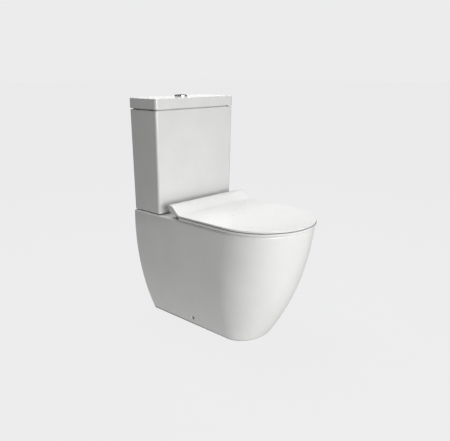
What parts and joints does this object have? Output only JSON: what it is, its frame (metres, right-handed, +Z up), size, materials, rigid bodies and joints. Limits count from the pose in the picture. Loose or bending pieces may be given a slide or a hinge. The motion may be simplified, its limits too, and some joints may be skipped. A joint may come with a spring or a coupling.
{
  "type": "close coupled toilet",
  "caption": "Back-to-wall toilet with a curved skirted pan, a tapered cistern coupled on its rear deck, a slim D-shaped seat and lid, and a round dual flush button.",
  "frame": {"origin": "on the floor, midway between the wall and the front tip of the seat, on the centre line", "axes": "+Z up, -Y the front, +Y against the wall, +X to the right of someone facing the toilet"},
  "size_m": [0.3762, 0.634, 0.8208],
  "materials": {
    "pan_china": "smooth bright white glaze",
    "cistern_china": "smooth bright white glaze",
    "seat_white": "smooth satin-gloss white",
    "chrome": "polished",
    "steel": "bright zinc plated",
    "valve_white": "plain moulded plastic",
    "valve_grey": "plain moulded plastic",
    "valve_blue": "plain moulded plastic",
    "buffer_clear": "soft pale",
    "rubber_black": "soft matt",
    "foam_grey": "fine closed-cell sponge"
  },
  "bodies": {
    "china": {"pan": "pan_china", "pan_deck": "pan_china", "pan_channel": "pan_china", "pan_bowl": "pan_china", "pan_trap": "pan_china", "cistern": "cistern_china", "lid_pads": "rubber_black", "flush_valve_base": "valve_grey", "flush_valve_washer": "rubber_black", "flush_valve_backnut": "valve_grey", "flush_valve_cage": "valve_white", "coupling_plate": "steel", "coupling_gasket": "foam_grey", "coupling_bolts": "steel", "coupling_bolt_seals": "rubber_black", "coupling_washers": "steel", "coupling_wing_nuts": "steel", "fill_valve_riser": "valve_grey", "fill_valve_washer": "rubber_black", "fill_valve_backnut": "valve_grey", "fill_valve_head": "valve_white", "fill_valve_pin": "steel", "hinge_posts": "chrome", "hinge_studs": "steel", "hinge_seals": "rubber_black", "hinge_nuts": "valve_white"},
    "seat": {"seat": "seat_white", "seat_buffers": "buffer_clear", "hinge_pins": "steel"},
    "seat_lid": {"seat_lid": "seat_white", "seat_lid_back": "seat_white", "seat_lid_cheeks": "seat_white", "seat_lid_lugs": "seat_white", "lid_buffers": "buffer_clear"},
    "cistern_lid": {"cistern_lid": "cistern_china", "button_ring": "chrome", "ring_nut": "valve_white", "ring_seal": "rubber_black"},
    "full_flush_button": {"full_flush_button": "chrome", "full_flush_rod": "valve_white"},
    "half_flush_button": {"half_flush_button": "chrome", "half_flush_rod": "valve_white"},
    "full_flush_plunger": {"full_flush_plunger": "valve_blue"},
    "half_flush_plunger": {"half_flush_plunger": "valve_blue"},
    "valve_spindle": {"overflow_tube": "valve_grey", "flush_valve_seal": "rubber_black"},
    "float": {"float_cup": "valve_grey", "float_link": "valve_white", "float_adjuster": "valve_blue"},
    "float_lever": {"float_lever": "valve_blue"}
  },
  "joints": [
    {"name": "seat_hinge", "type": "hinge", "parent": "china", "child": "seat", "pos_m": [0, 0.114, 0.444], "axis": [1, 0, 0], "range_deg": [-96, 0]},
    {"name": "seat_lid_hinge", "type": "hinge", "parent": "seat", "child": "seat_lid", "pos_m": [0, 0.114, 0.444], "axis": [-1, 0, 0], "range_deg": [0, 98]},
    {"name": "cistern_lid_lift", "type": "slide", "parent": "china", "child": "cistern_lid", "axis": [0, 0, 1], "range_m": [0, 0.25]},
    {"name": "full_flush_press", "type": "slide", "parent": "cistern_lid", "child": "full_flush_button", "axis": [0, 0, -1], "range_m": [0, 0.006], "stiffness_N_per_m": 500, "springref_m": -0.004},
    {"name": "half_flush_press", "type": "slide", "parent": "cistern_lid", "child": "half_flush_button", "axis": [0, 0, -1], "range_m": [0, 0.006], "stiffness_N_per_m": 500, "springref_m": -0.004},
    {"name": "full_plunger_press", "type": "slide", "parent": "china", "child": "full_flush_plunger", "axis": [0, 0, -1], "range_m": [0, 0.006]},
    {"name": "half_plunger_press", "type": "slide", "parent": "china", "child": "half_flush_plunger", "axis": [0, 0, -1], "range_m": [0, 0.006]},
    {"name": "flush_valve_lift", "type": "slide", "parent": "china", "child": "valve_spindle", "axis": [0, 0, 1], "range_m": [0, 0.018]},
    {"name": "float_drop", "type": "slide", "parent": "china", "child": "float", "axis": [0, 0, -1], "range_m": [0, 0.012]},
    {"name": "float_lever_turn", "type": "hinge", "parent": "china", "child": "float_lever", "pos_m": [0.122, 0.259, 0.707], "axis": [1, 0, 0], "range_deg": [0, 20.3]}
  ],
  "couplings": [
    {"joint": "full_plunger_press", "follows": "full_flush_press", "ratio": 1},
    {"joint": "half_plunger_press", "follows": "half_flush_press", "ratio": 1},
    {"joint": "flush_valve_lift", "follows": "full_flush_press", "ratio": 3},
    {"joint": "float_lever_turn", "follows": "float_drop", "rad_per_m": 29.41}
  ]
}
